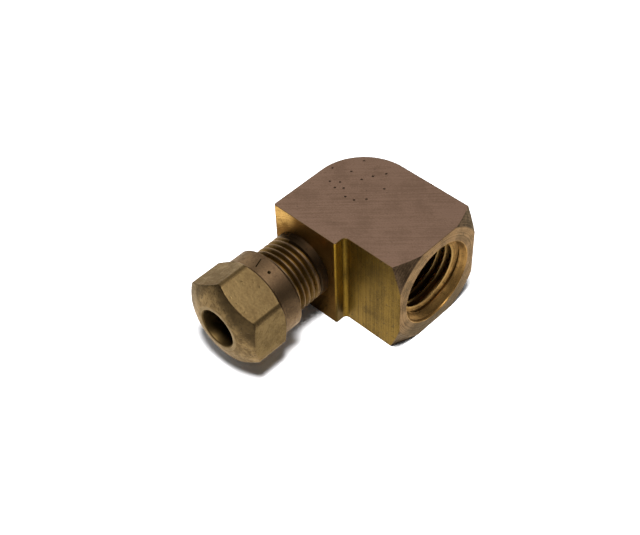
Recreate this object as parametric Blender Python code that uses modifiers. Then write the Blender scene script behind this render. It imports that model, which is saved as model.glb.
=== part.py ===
"""Brass compression elbow: a pipe-threaded elbow body with its sleeve and its nut.

The elbow lies flat. The female pipe port looks along +X and the tube arm along -Y.
The origin is on the resting face, below the point where the two axes cross.
Metres, +Z up.
"""

import math

import bmesh
import bpy
from mathutils import Matrix

MM = 0.001

# Elbow block, cut from an extruded angle bar.
THICKNESS = 18.3 * MM
AXIS_Z = THICKNESS / 2
PORT_FACE_X = 18.6 * MM
PORT_ARM_HALF = 8.98 * MM
SHOULDER_S = 11.2 * MM          # from the port axis to the tube arm's shoulder
SHOULDER_OUT = 5.98 * MM        # from the tube axis to the outer side
SHOULDER_IN = 7.22 * MM         # from the tube axis to the notch side
OUTER_CORNER_R = 9.2 * MM
NOTCH_FILLET_R = 0.7 * MM
EDGE_R = 0.3 * MM
END_CHAMFER_R = 9.93 * MM       # where the turned end chamfer starts on the port face
END_CHAMFER_SLOPE = 0.6         # metres back for each metre out

# Female pipe thread, 1/4-18 taper.
PIPE_PITCH = 1.411 * MM
PIPE_TAPER = 1 / 32             # radius lost for each metre of depth
PORT_RIM_R = 7.28 * MM
PORT_RECESS_R = 6.62 * MM
PORT_RECESS_DEPTH = 1.35 * MM
PIPE_ROOT_R = 6.7 * MM
PIPE_BORE_R = 5.65 * MM
PIPE_THREAD_DEPTH = 11.58 * MM
PORT_BORE_END_X = 2.0 * MM
DRILL_POINT_SLOPE = 0.6

# Tube arm and its 24 per inch compression thread. S runs from the port axis along -Y.
PITCH = 25.4 * MM / 24
FLANK = math.tan(math.radians(30))
THREAD_R = 5.78 * MM
THREAD_ROOT_R = 5.16 * MM
CREST_WIDTH = 0.16 * MM
ARM_END_S = 22.9 * MM
ARM_END_CHAMFER = 0.55 * MM
THREAD_START_S = 11.81 * MM
RUN_OUT_TURNS = 1.6               # turns over which the thread fades out at the shoulder
TUBE_SOCKET_R = 3.24 * MM
TUBE_STOP_S = 9.5 * MM
FLOW_BORE_R = 2.4 * MM
FLOW_BORE_END_S = -1.3 * MM
MOUTH_SLOPE = 0.357             # radius gained for each metre outwards
MOUTH_R = 4.64 * MM             # at the arm's end

# Nut.
NUT_BACK_S = 18.65 * MM
NUT_NOSE_S = 30.0 * MM
HEX_FLATS = 14.29 * MM
HEX_TURN = math.radians(33.0)   # one corner's angle from +X towards +Z
HEX_BACK_S = 22.8 * MM
HEX_FRONT_S = 28.03 * MM
HEX_CORNER_R = 8.26 * MM
HEX_BACK_CHAMFER = 0.7 * MM
COLLAR_R = 7.1 * MM
COLLAR_EDGE_R = 0.2 * MM
NOSE_FLAT_R = 4.12 * MM
NOSE_ARC_R = 12.6 * MM
TUBE_HOLE_R = 3.31 * MM
SEAT_S = 27.0 * MM              # where the tube hole opens into the seat cone
SEAT_END_S = 25.3 * MM
RELIEF_R = 5.95 * MM
NUT_THREAD_END_S = 23.6 * MM
THREAD_CLEARANCE = 0.1 * MM
NUT_MOUTH_CHAMFER = 0.3 * MM

# Sleeve, which rides in the nut on its seat.
SLEEVE_BORE_R = 3.2 * MM
SLEEVE_R = 3.95 * MM
SLEEVE_END_R = 3.45 * MM
SLEEVE_FRONT_S = 21.2 * MM
SLEEVE_FRONT_TAPER = 1.4 * MM
SLEEVE_BACK_TAPER = 1.2 * MM
SLEEVE_BACK_S = 26.4 * MM

# Fineness of the round shapes.
ROUND_STEPS = 40
THREAD_STEPS = 28
ARC_STEPS = 10
OVERRUN = 1.0 * MM              # how far a cutter passes its work
MERGE = 1e-6
WELD = 8e-6
CONE_FIRST_CORNER = math.radians(30)    # where a six-sided primitive has a corner

PORT_AXES = Matrix.Rotation(math.pi / 2, 4, "Y")
TUBE_AXES = Matrix.Rotation(math.pi / 2, 4, "X")


def clear_scene():
    """Remove every object of the file that the script is run in."""
    for obj in list(bpy.data.objects):
        bpy.data.objects.remove(obj, do_unlink=True)


def collection(name):
    """Make a collection in the scene."""
    made = bpy.data.collections.new(name)
    bpy.context.scene.collection.children.link(made)
    return made


def brass(name, colour, roughness):
    """Make a brass material."""
    material = bpy.data.materials.new(name)
    material.use_nodes = True
    shader = material.node_tree.nodes["Principled BSDF"]
    shader.inputs["Base Color"].default_value = (*colour, 1.0)
    shader.inputs["Roughness"].default_value = roughness
    shader.inputs["Metallic"].default_value = 1.0
    return material


def placed(name, mesh, home, axes):
    """Put a mesh in a collection, turned to an axis and raised to the axes' height."""
    obj = bpy.data.objects.new(name, mesh)
    obj.matrix_world = Matrix.Translation((0, 0, AXIS_Z)) @ axes
    home.objects.link(obj)
    return obj


def as_cutter(obj):
    """Mark an object as one that only shapes others."""
    obj.display_type = "WIRE"
    obj.hide_render = True
    return obj


def baked(obj):
    """Replace an object's mesh with its evaluated one and drop its modifiers."""
    bpy.context.view_layer.update()
    graph = bpy.context.evaluated_depsgraph_get()
    mesh = bpy.data.meshes.new_from_object(obj.evaluated_get(graph))
    shape = bmesh.new()
    shape.from_mesh(mesh)
    bmesh.ops.remove_doubles(shape, verts=shape.verts, dist=MERGE)
    shape.to_mesh(mesh)
    shape.free()
    obj.modifiers.clear()
    obj.data = mesh
    return obj


def arc(centre, radius, start, end, steps=ARC_STEPS):
    """Points of an arc in a plane, from one angle to another, in degrees."""
    points = []
    for step in range(steps + 1):
        angle = math.radians(start + (end - start) * step / steps)
        points.append((centre[0] + radius * math.cos(angle),
                       centre[1] + radius * math.sin(angle)))
    return points


def turned(name, profile, home, axes):
    """Turn a profile of (radius, distance along the axis), top first, about an axis."""
    mesh = bpy.data.meshes.new(name)
    points = [(radius, 0.0, along) for radius, along in profile]
    edges = [(i, i + 1) for i in range(len(points) - 1)]
    if profile[0][0] > 0:
        edges.append((len(points) - 1, 0))
    mesh.from_pydata(points, edges, [])
    obj = placed(name, mesh, home, axes)
    screw = obj.modifiers.new("Turn", "SCREW")
    screw.axis = "Z"
    screw.steps = ROUND_STEPS
    screw.render_steps = ROUND_STEPS
    screw.use_merge_vertices = True
    screw.merge_threshold = MERGE
    return baked(obj)


def helix(name, section, pitch, turns, shift, home, axes):
    """Sweep a closed section along a right-hand helix.

    The section is (radius, distance along the axis). shift(turn) gives the radius to add
    after a number of turns.
    """
    mesh = bpy.data.meshes.new(name)
    points = [(radius, 0.0, along) for radius, along in section]
    edges = [(i, (i + 1) % len(points)) for i in range(len(points))]
    mesh.from_pydata(points, edges, [])
    obj = placed(name, mesh, home, axes)
    screw = obj.modifiers.new("Thread", "SCREW")
    screw.axis = "Z"
    screw.steps = THREAD_STEPS
    screw.render_steps = THREAD_STEPS
    screw.screw_offset = pitch
    screw.iterations = turns
    screw.use_merge_vertices = False
    baked(obj)
    shape = bmesh.new()
    shape.from_mesh(obj.data)
    for vert in shape.verts:
        turn = vert.index // len(section) / THREAD_STEPS
        radius = math.hypot(vert.co.x, vert.co.y)
        factor = (radius + shift(turn)) / radius
        vert.co.x *= factor
        vert.co.y *= factor
    bmesh.ops.holes_fill(shape, edges=[e for e in shape.edges if e.is_boundary])
    bmesh.ops.recalc_face_normals(shape, faces=shape.faces)
    shape.to_mesh(obj.data)
    shape.free()
    return as_cutter(obj)


def boolean(obj, operation, tool):
    """Add a Boolean with a tool object."""
    cut = obj.modifiers.new(tool.name, "BOOLEAN")
    cut.operation = operation
    cut.solver = "EXACT"
    cut.object = tool


def welded(obj):
    """Close up the shortest edges that the Booleans leave."""
    weld = obj.modifiers.new("Weld", "WELD")
    weld.merge_threshold = WELD


def smooth(obj):
    """Shade the round faces smooth and keep real edges sharp."""
    obj.data.shade_smooth()
    obj.data.set_sharp_from_angle(angle=math.radians(30))


def block_outline():
    """Outline of the angle bar, seen from above, anticlockwise."""
    corner = (-SHOULDER_OUT + OUTER_CORNER_R, PORT_ARM_HALF - OUTER_CORNER_R)
    notch = (SHOULDER_IN + NOTCH_FILLET_R, -PORT_ARM_HALF - NOTCH_FILLET_R)
    heel = (SHOULDER_IN - EDGE_R, -SHOULDER_S + EDGE_R)
    points = [(PORT_FACE_X, -PORT_ARM_HALF), (PORT_FACE_X, PORT_ARM_HALF)]
    points += arc(corner, OUTER_CORNER_R, 90, 180)
    points.append((-SHOULDER_OUT, -SHOULDER_S))
    points += arc(heel, EDGE_R, -90, 0, 3)
    points += arc(notch, NOTCH_FILLET_R, 180, 90, 5)
    return points


def angle_block(home):
    """Extrude the outline to the bar's thickness."""
    outline = block_outline()
    curve = bpy.data.curves.new("elbow_body", "CURVE")
    curve.dimensions = "2D"
    curve.fill_mode = "BOTH"
    curve.extrude = THICKNESS / 2
    spline = curve.splines.new("POLY")
    spline.points.add(len(outline) - 1)
    for point, (x, y) in zip(spline.points, outline):
        point.co = (x, y, 0.0, 1.0)
    spline.use_cyclic_u = True
    drawn = placed("elbow_outline", curve, home, Matrix.Identity(4))
    bpy.context.view_layer.update()
    graph = bpy.context.evaluated_depsgraph_get()
    mesh = bpy.data.meshes.new_from_object(drawn.evaluated_get(graph))
    bpy.data.objects.remove(drawn, do_unlink=True)
    shape = bmesh.new()
    shape.from_mesh(mesh)
    bmesh.ops.remove_doubles(shape, verts=shape.verts, dist=MERGE)
    bmesh.ops.recalc_face_normals(shape, faces=shape.faces)
    shape.to_mesh(mesh)
    shape.free()
    return placed("elbow_body", mesh, home, Matrix.Identity(4))


def end_chamfer_tool(tools):
    """Turned envelope that takes the corners off the port end."""
    reach = 3 * PORT_FACE_X
    far_r = END_CHAMFER_R + OVERRUN / END_CHAMFER_SLOPE + reach
    back = PORT_FACE_X - END_CHAMFER_SLOPE * (far_r - END_CHAMFER_R)
    front_r = END_CHAMFER_R - OVERRUN / END_CHAMFER_SLOPE
    profile = [(0, PORT_FACE_X + OVERRUN), (front_r, PORT_FACE_X + OVERRUN),
               (far_r, back), (far_r, -reach), (0, -reach)]
    return as_cutter(turned("end_chamfer", profile, tools, PORT_AXES))


def port_bore_tool(tools):
    """Countersunk mouth, tap bore and drill point of the pipe port."""
    recess_x = PORT_FACE_X - PORT_RECESS_DEPTH
    throat_x = recess_x - (PORT_RECESS_R - PIPE_BORE_R)
    flare = (PORT_RIM_R - PORT_RECESS_R) / PORT_RECESS_DEPTH
    profile = [(0, PORT_FACE_X + OVERRUN),
               (PORT_RIM_R + flare * OVERRUN, PORT_FACE_X + OVERRUN),
               (PORT_RECESS_R, recess_x), (PIPE_BORE_R, throat_x),
               (PIPE_BORE_R, PORT_BORE_END_X),
               (0, PORT_BORE_END_X - DRILL_POINT_SLOPE * PIPE_BORE_R)]
    return as_cutter(turned("port_bore", profile, tools, PORT_AXES))


def thread_section(crest_r, root_r, width_at_root, start):
    """Closed groove section, wide at crest_r and narrow at root_r."""
    half_root = width_at_root / 2
    half_crest = half_root + FLANK * abs(root_r - crest_r)
    return [(crest_r, start - half_crest), (root_r, start - half_root),
            (root_r, start + half_root), (crest_r, start + half_crest)]


def pipe_thread_tool(tools):
    """Tapered helical groove of the pipe port."""
    start = PORT_FACE_X - PIPE_THREAD_DEPTH
    turns = math.ceil((PIPE_THREAD_DEPTH - PORT_RECESS_DEPTH) / PIPE_PITCH) + 1
    deep_r = PIPE_ROOT_R - PIPE_TAPER * PIPE_THREAD_DEPTH
    section = thread_section(deep_r - PIPE_PITCH * 0.7, deep_r, CREST_WIDTH, start)

    def widen(turn):
        """The taper opens the thread towards the mouth."""
        return PIPE_TAPER * PIPE_PITCH * turn

    return helix("port_thread", section, PIPE_PITCH, turns, widen, tools, PORT_AXES)


def arm_blank(tools):
    """Turned arm, at the thread's full diameter, with its end chamfer."""
    profile = [(0, ARM_END_S), (THREAD_R - ARM_END_CHAMFER, ARM_END_S),
               (THREAD_R, ARM_END_S - ARM_END_CHAMFER),
               (THREAD_R, SHOULDER_S - OVERRUN), (0, SHOULDER_S - OVERRUN)]
    return as_cutter(turned("arm_blank", profile, tools, TUBE_AXES))


def arm_thread_tool(tools):
    """Helical groove of the compression thread, fading out at the shoulder."""
    turns = math.ceil((ARM_END_S - THREAD_START_S) / PITCH) + 1
    root_width = PITCH - CREST_WIDTH - 2 * FLANK * (THREAD_R - THREAD_ROOT_R)
    outside = THREAD_R + 0.1 * MM
    section = thread_section(outside, THREAD_ROOT_R, root_width, THREAD_START_S)
    rise = outside - THREAD_ROOT_R

    def run_out(turn):
        """The first turns climb out of the bar."""
        return max(0.0, 0.98 * rise * (1 - turn / RUN_OUT_TURNS))

    return helix("arm_thread", section, PITCH, turns, run_out, tools, TUBE_AXES)


def tube_bore_tool(tools):
    """Mouth cone, tube socket and flow bore of the tube arm."""
    mouth_end = ARM_END_S - (MOUTH_R - TUBE_SOCKET_R) / MOUTH_SLOPE
    profile = [(0, ARM_END_S + OVERRUN),
               (MOUTH_R + MOUTH_SLOPE * OVERRUN, ARM_END_S + OVERRUN),
               (TUBE_SOCKET_R, mouth_end), (TUBE_SOCKET_R, TUBE_STOP_S),
               (FLOW_BORE_R, TUBE_STOP_S), (FLOW_BORE_R, FLOW_BORE_END_S),
               (0, FLOW_BORE_END_S)]
    return as_cutter(turned("tube_bore", profile, tools, TUBE_AXES))


def make_elbow(home, tools):
    """The elbow body: block, chamfered port end, threaded arm and bores."""
    body = angle_block(home)
    arm = arm_blank(tools)
    boolean(arm, "DIFFERENCE", arm_thread_tool(tools))
    boolean(body, "INTERSECT", end_chamfer_tool(tools))
    boolean(body, "UNION", arm)
    boolean(body, "DIFFERENCE", port_bore_tool(tools))
    boolean(body, "DIFFERENCE", tube_bore_tool(tools))
    boolean(body, "DIFFERENCE", pipe_thread_tool(tools))
    welded(body)
    body.data.materials.append(brass("elbow_brass", (0.22, 0.14, 0.08), 0.42))
    smooth(body)
    return body


def nut_profile():
    """Outside of the nut, from its nose to its back end."""
    chord = math.hypot(HEX_CORNER_R - NOSE_FLAT_R, NUT_NOSE_S - HEX_FRONT_S)
    half_angle = math.degrees(math.asin(chord / 2 / NOSE_ARC_R))
    fall = math.degrees(math.atan2(NUT_NOSE_S - HEX_FRONT_S, HEX_CORNER_R - NOSE_FLAT_R))
    first = 90 - fall + half_angle
    centre_r = NOSE_FLAT_R - NOSE_ARC_R * math.cos(math.radians(first))
    centre_s = NUT_NOSE_S - NOSE_ARC_R * math.sin(math.radians(first))
    nose = arc((centre_r, centre_s), NOSE_ARC_R, first, first - 2 * half_angle, 6)
    edge = arc((COLLAR_R - COLLAR_EDGE_R, NUT_BACK_S + COLLAR_EDGE_R), COLLAR_EDGE_R, 0, -90, 3)
    chamfer_slope = HEX_BACK_CHAMFER / (HEX_CORNER_R - HEX_FLATS / 2)
    collar_s = HEX_BACK_S - chamfer_slope * (HEX_CORNER_R - COLLAR_R)
    return [(0, NUT_NOSE_S)] + nose + [(HEX_CORNER_R, HEX_BACK_S), (COLLAR_R, collar_s)] + edge


def nut_bore_tool(tools):
    """Tube hole, seat cone, relief and thread bore of the nut."""
    bore_r = THREAD_ROOT_R + THREAD_CLEARANCE + 0.04 * MM
    seat_end_r = TUBE_HOLE_R + SEAT_S - SEAT_END_S
    mouth_r = THREAD_R + THREAD_CLEARANCE + NUT_MOUTH_CHAMFER
    slope_end = NUT_BACK_S + mouth_r - bore_r
    profile = [(0, NUT_NOSE_S + OVERRUN), (TUBE_HOLE_R, NUT_NOSE_S + OVERRUN),
               (TUBE_HOLE_R, SEAT_S), (seat_end_r, SEAT_END_S), (RELIEF_R, SEAT_END_S),
               (RELIEF_R, NUT_THREAD_END_S),
               (bore_r, NUT_THREAD_END_S - (RELIEF_R - bore_r)),
               (bore_r, slope_end), (mouth_r + OVERRUN, NUT_BACK_S - OVERRUN),
               (0, NUT_BACK_S - OVERRUN)]
    return as_cutter(turned("nut_bore", profile, tools, TUBE_AXES))


def nut_thread_tool(tools):
    """Helical groove of the nut, centred on the crests of the arm's thread."""
    whole = math.ceil((NUT_BACK_S - OVERRUN - THREAD_START_S) / PITCH)
    start = THREAD_START_S + (whole - 0.5) * PITCH
    turns = math.floor((NUT_THREAD_END_S - start) / PITCH) + 1
    root_r = THREAD_R + THREAD_CLEARANCE
    inside = THREAD_ROOT_R - 0.1 * MM
    section = thread_section(inside, root_r, CREST_WIDTH + 2 * THREAD_CLEARANCE, start)

    def straight(turn):
        """The nut's thread keeps its radius."""
        return 0.0

    return helix("nut_thread", section, PITCH, turns, straight, tools, TUBE_AXES)


def hexagon_tool(tools):
    """Hexagonal bar whose flats cut the nut."""
    mesh = bpy.data.meshes.new("hexagon")
    shape = bmesh.new()
    radius = HEX_FLATS / math.sqrt(3)
    length = NUT_NOSE_S - NUT_BACK_S + 2 * OVERRUN
    middle = Matrix.Translation((0, 0, (NUT_NOSE_S + NUT_BACK_S) / 2))
    turn = Matrix.Rotation(HEX_TURN - CONE_FIRST_CORNER, 4, "Z")
    bmesh.ops.create_cone(shape, cap_ends=True, segments=6, radius1=radius, radius2=radius,
                          depth=length, matrix=middle @ turn)
    shape.to_mesh(mesh)
    shape.free()
    return as_cutter(placed("hexagon", mesh, tools, TUBE_AXES))


def make_nut(home, tools):
    """The nut: turned, milled to a hexagon, bored and threaded."""
    profile = nut_profile()
    nut = turned("compression_nut", profile + [(0, NUT_BACK_S)], home, TUBE_AXES)
    boolean(nut, "INTERSECT", hexagon_tool(tools))
    boolean(nut, "DIFFERENCE", nut_bore_tool(tools))
    boolean(nut, "DIFFERENCE", nut_thread_tool(tools))
    welded(nut)
    nut.data.materials.append(brass("nut_brass", (0.30, 0.22, 0.12), 0.45))
    smooth(nut)
    return nut


def make_sleeve(home):
    """The sleeve: a double-tapered ring."""
    profile = [(SLEEVE_BORE_R, SLEEVE_BACK_S), (SLEEVE_END_R, SLEEVE_BACK_S),
               (SLEEVE_R, SLEEVE_BACK_S - SLEEVE_BACK_TAPER),
               (SLEEVE_R, SLEEVE_FRONT_S + SLEEVE_FRONT_TAPER),
               (SLEEVE_END_R, SLEEVE_FRONT_S), (SLEEVE_BORE_R, SLEEVE_FRONT_S)]
    sleeve = turned("sleeve", profile, home, TUBE_AXES)
    sleeve.data.materials.append(brass("sleeve_brass", (0.55, 0.40, 0.16), 0.3))
    smooth(sleeve)
    return sleeve


def main():
    """Make the fitting."""
    clear_scene()
    home = collection("compression_fitting")
    tools = collection("cutters")
    make_elbow(home, tools)
    make_nut(home, tools)
    make_sleeve(home)


main()
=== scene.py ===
"""Looks of the brass compression elbow: fine metal pieces, aged brass, floor, light and camera."""

import math
import random

import bmesh
import bpy
from mathutils import Matrix, Vector


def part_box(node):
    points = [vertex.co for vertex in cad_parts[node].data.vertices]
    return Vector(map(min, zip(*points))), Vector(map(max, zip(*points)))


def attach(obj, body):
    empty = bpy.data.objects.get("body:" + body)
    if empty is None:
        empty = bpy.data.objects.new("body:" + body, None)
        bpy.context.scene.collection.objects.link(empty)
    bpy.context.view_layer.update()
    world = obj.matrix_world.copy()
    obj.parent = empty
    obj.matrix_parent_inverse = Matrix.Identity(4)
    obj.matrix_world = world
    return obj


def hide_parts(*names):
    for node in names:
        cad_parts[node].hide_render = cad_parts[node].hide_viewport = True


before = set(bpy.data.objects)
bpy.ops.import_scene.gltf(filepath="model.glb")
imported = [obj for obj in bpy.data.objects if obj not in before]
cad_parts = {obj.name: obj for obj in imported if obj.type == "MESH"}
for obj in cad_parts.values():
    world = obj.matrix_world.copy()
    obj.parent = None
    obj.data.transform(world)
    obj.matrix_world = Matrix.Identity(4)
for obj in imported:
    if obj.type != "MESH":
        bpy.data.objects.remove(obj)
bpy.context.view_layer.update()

MM = 0.001

# Sizes read from the boxes of the frame's pieces.
BLOCK_LOW, BLOCK_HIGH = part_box("elbow_body")
NUT_LOW, NUT_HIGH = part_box("compression_nut")
SLEEVE_LOW, SLEEVE_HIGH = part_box("sleeve")
THICKNESS = BLOCK_HIGH.z
AXIS_Z = THICKNESS / 2
PORT_FACE_X = BLOCK_HIGH.x
PORT_ARM_HALF = BLOCK_HIGH.y
SHOULDER_OUT = -BLOCK_LOW.x
ARM_END_S = -BLOCK_LOW.y
NUT_NOSE_S = -NUT_LOW.y
NUT_BACK_S = -NUT_HIGH.y
SLEEVE_BACK_S = -SLEEVE_LOW.y
SLEEVE_FRONT_S = -SLEEVE_HIGH.y
SLEEVE_R = SLEEVE_HIGH.x

# Elbow block. S runs from the port axis along -Y.
SHOULDER_S = 11.2 * MM
SHOULDER_IN = 7.22 * MM
OUTER_CORNER_R = 9.2 * MM
NOTCH_FILLET_R = 0.7 * MM
HEEL_R = 0.3 * MM
TOE_R = 0.35 * MM
END_CHAMFER_R = 9.93 * MM
END_CHAMFER_SLOPE = 0.6
BLOCK_EDGE = 0.08 * MM
END_CHAMFER_EDGE = 0.25 * MM

# Pipe thread of the port.
PIPE_PITCH = 1.411 * MM
PIPE_TAPER = 1 / 32
PORT_RIM_R = 7.28 * MM
PORT_RIM_ROUND = 0.18 * MM
PORT_RECESS_R = 6.62 * MM
PORT_RECESS_DEPTH = 1.35 * MM
PIPE_ROOT_R = 6.95 * MM
THREAD_SCROLL = 0.12 * MM
PIPE_THREAD_HEIGHT = 1.06 * MM
PIPE_BORE_R = 5.96 * MM
PIPE_THREAD_DEPTH = 11.58 * MM
PORT_BORE_END_X = 2.0 * MM
DRILL_POINT_SLOPE = 0.6

# Small pits scattered over the top face.
PIT_COUNT = 14
PIT_R = 0.2 * MM
PIT_DEPTH = 0.16 * MM
PIT_POINT_R = 0.01 * MM
PIT_GAP = 1.2 * MM
PIT_FIELD_R = 5.2 * MM
PIT_FIELD_Y = 1.5 * MM
PIT_SEED = 5

# Compression thread and bores of the tube arm.
PITCH = 25.4 * MM / 24
FLANK = math.tan(math.radians(30))
THREAD_R = 5.78 * MM
THREAD_ROOT_R = 5.16 * MM
CREST_WIDTH = 0.14 * MM
ARM_END_CHAMFER = 0.55 * MM
THREAD_START_S = 11.81 * MM
RUN_OUT_TURNS = 1.6
UNDERCUT_R = 5.6 * MM
UNDERCUT_WIDTH = 0.22 * MM
UNDERCUT_SIDE = 0.05 * MM
GROOVE_OVER = 0.1 * MM
RUN_OUT_SHARE = 0.98
TUBE_SOCKET_R = 3.24 * MM
TUBE_STOP_S = 9.5 * MM
FLOW_BORE_R = 2.4 * MM
FLOW_BORE_END_S = -1.3 * MM
MOUTH_SLOPE = 0.357
MOUTH_R = 4.64 * MM

# Nut.
HEX_FLATS = 14.29 * MM
HEX_TURN = math.radians(33.0)
HEX_BACK_S = 22.8 * MM
HEX_FRONT_S = 28.03 * MM
HEX_CORNER_R = 8.26 * MM
HEX_BACK_CHAMFER = 0.7 * MM
HEX_EDGE_R = 0.55 * MM
NUT_EDGE = 0.09 * MM
COLLAR_R = 7.1 * MM
COLLAR_EDGE_R = 0.2 * MM
NOSE_FLAT_R = 4.12 * MM
NOSE_ARC_R = 12.6 * MM
TUBE_HOLE_R = 3.31 * MM
HOLE_RIM_ROUND = 0.3 * MM
SEAT_S = 27.0 * MM
SEAT_END_S = 25.3 * MM
RELIEF_R = 5.95 * MM
NUT_THREAD_END_S = 23.6 * MM
THREAD_CLEARANCE = 0.1 * MM
NUT_CREST_CUT = 0.04 * MM
NUT_MOUTH_CHAMFER = 0.3 * MM

# Nick and scratch on the collar. A turn is from +X towards +Z.
NICK_TURN = math.radians(71.5)
NICK_S = 20.5 * MM
NICK_R = 0.28 * MM
NICK_DEPTH = 0.2 * MM
SCRATCH_TURN = math.radians(90.7)
SCRATCH_S = 20.45 * MM
SCRATCH_SIZE = (0.22 * MM, 1.75 * MM, 0.2 * MM)
SCRATCH_SLANT = math.radians(19)

# Sleeve.
SLEEVE_BORE_R = 3.2 * MM
SLEEVE_END_R = 3.45 * MM
SLEEVE_FRONT_TAPER = 1.4 * MM
SLEEVE_BACK_TAPER = 1.2 * MM
SLEEVE_EDGE = 0.06 * MM

# Limits that tell the regions of a surface apart, and the direction of the saw lines.
FACE_SLACK = 0.02 * MM
FACE_ON = 0.985
EDGE_ON = 0.12
END_CHAMFER_ON = 0.25
END_CHAMFER_REACH = 3.0 * MM
BORE_REGION_X = -3.0 * MM
TUBE_REGION_S = 7.4 * MM
ARM_NECK_END_S = 12.9 * MM
HEX_FLAT_START_S = 22.0 * MM
HEX_FLAT_SLACK = math.radians(1)
SAW_TURN = math.radians(44)

# Fineness, and the angles in degrees that count as an edge.
ROUND_STEPS = 128
THREAD_STEPS = 96
CHAMFER_STEPS = 96
MARK_SIDES = 16
BEVEL_STEPS = 2
SMOOTH_ANGLE = 32
BLOCK_EDGE_ANGLE = 20
NUT_EDGE_ANGLE = 24
SLEEVE_EDGE_ANGLE = 15
OVERRUN = 1.0 * MM
MERGE = 1e-7
CONE_FIRST_CORNER = math.radians(30)

PORT_AXES = Matrix.Rotation(math.pi / 2, 4, "Y")
TUBE_AXES = Matrix.Rotation(math.pi / 2, 4, "X")


# ---------------------------------------------------------------- shapes

def placed(name, mesh, axes):
    """Link a mesh, turned to an axis and raised to the axes' height."""
    obj = bpy.data.objects.new(name, mesh)
    bpy.context.scene.collection.objects.link(obj)
    obj.matrix_world = Matrix.Translation((0, 0, AXIS_Z)) @ axes
    return obj


def baked(obj):
    """Replace an object's mesh with its evaluated one, in world space."""
    bpy.context.view_layer.update()
    graph = bpy.context.evaluated_depsgraph_get()
    mesh = bpy.data.meshes.new_from_object(obj.evaluated_get(graph))
    mesh.transform(obj.matrix_world)
    shape = bmesh.new()
    shape.from_mesh(mesh)
    bmesh.ops.remove_doubles(shape, verts=shape.verts, dist=MERGE)
    shape.to_mesh(mesh)
    shape.free()
    obj.modifiers.clear()
    obj.data = mesh
    obj.matrix_world = Matrix.Identity(4)
    return obj


def arc(centre, radius, start, end, steps):
    """Points of an arc in a plane, from one angle to another, in degrees."""
    points = []
    for step in range(steps + 1):
        angle = math.radians(start + (end - start) * step / steps)
        points.append((centre[0] + radius * math.cos(angle),
                       centre[1] + radius * math.sin(angle)))
    return points


def turned(name, profile, axes, steps=ROUND_STEPS):
    """Turn a profile of (radius, distance along the axis), top first, about an axis."""
    mesh = bpy.data.meshes.new(name)
    points = [(radius, 0.0, along) for radius, along in profile]
    edges = [(i, i + 1) for i in range(len(points) - 1)]
    if profile[0][0] > 0:
        edges.append((len(points) - 1, 0))
    mesh.from_pydata(points, edges, [])
    obj = placed(name, mesh, axes)
    screw = obj.modifiers.new("Turn", "SCREW")
    screw.axis = "Z"
    screw.steps = steps
    screw.render_steps = steps
    screw.use_merge_vertices = True
    screw.merge_threshold = MERGE
    return baked(obj)


def helix(name, section, pitch, turns, shift, axes):
    """Sweep a closed (radius, along) section on a right-hand helix.

    shift(turn) gives the radius to add after a number of turns.
    """
    mesh = bpy.data.meshes.new(name)
    points = [(radius, 0.0, along) for radius, along in section]
    edges = [(i, (i + 1) % len(points)) for i in range(len(points))]
    mesh.from_pydata(points, edges, [])
    obj = placed(name, mesh, Matrix.Identity(4))
    obj.matrix_world = Matrix.Identity(4)
    screw = obj.modifiers.new("Thread", "SCREW")
    screw.axis = "Z"
    screw.steps = THREAD_STEPS
    screw.render_steps = THREAD_STEPS
    screw.screw_offset = pitch
    screw.iterations = turns
    screw.use_merge_vertices = False
    baked(obj)
    shape = bmesh.new()
    shape.from_mesh(obj.data)
    for vert in shape.verts:
        turn = vert.index // len(section) / THREAD_STEPS
        radius = math.hypot(vert.co.x, vert.co.y)
        factor = (radius + shift(turn)) / radius
        vert.co.x *= factor
        vert.co.y *= factor
    bmesh.ops.holes_fill(shape, edges=[e for e in shape.edges if e.is_boundary])
    bmesh.ops.recalc_face_normals(shape, faces=shape.faces)
    shape.transform(Matrix.Translation((0, 0, AXIS_Z)) @ axes)
    shape.to_mesh(obj.data)
    shape.free()
    return obj


def boolean(obj, operation, tool):
    """Apply a Boolean and remove its tool."""
    cut = obj.modifiers.new(operation, "BOOLEAN")
    cut.operation = operation
    cut.solver = "EXACT"
    cut.object = tool
    baked(obj)
    bpy.data.objects.remove(tool, do_unlink=True)
    return obj


def rounded(obj, width, angle):
    """Round the edges that are sharper than an angle, in degrees."""
    bevel = obj.modifiers.new("Edges", "BEVEL")
    bevel.width = width
    bevel.segments = BEVEL_STEPS
    bevel.limit_method = "ANGLE"
    bevel.angle_limit = math.radians(angle)
    bevel.use_clamp_overlap = False
    return baked(obj)


def finished(obj):
    """Shade round faces smooth, keep the real edges and weight the normals by area."""
    obj.data.shade_smooth()
    obj.data.set_sharp_from_angle(angle=math.radians(SMOOTH_ANGLE))
    normals = obj.modifiers.new("Normals", "WEIGHTED_NORMAL")
    normals.keep_sharp = True
    normals.weight = 100
    return obj


def block_outline():
    """Outline of the angle bar, seen from above, anticlockwise."""
    corner = (-SHOULDER_OUT + OUTER_CORNER_R, PORT_ARM_HALF - OUTER_CORNER_R)
    toe = (-SHOULDER_OUT + TOE_R, -SHOULDER_S + TOE_R)
    heel = (SHOULDER_IN - HEEL_R, -SHOULDER_S + HEEL_R)
    notch = (SHOULDER_IN + NOTCH_FILLET_R, -PORT_ARM_HALF - NOTCH_FILLET_R)
    points = [(PORT_FACE_X, -PORT_ARM_HALF), (PORT_FACE_X, PORT_ARM_HALF)]
    points += arc(corner, OUTER_CORNER_R, 90, 180, steps=48)
    points += arc(toe, TOE_R, 180, 270, steps=5)
    points += arc(heel, HEEL_R, -90, 0, steps=5)
    points += arc(notch, NOTCH_FILLET_R, 180, 90, steps=10)
    return points


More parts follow.
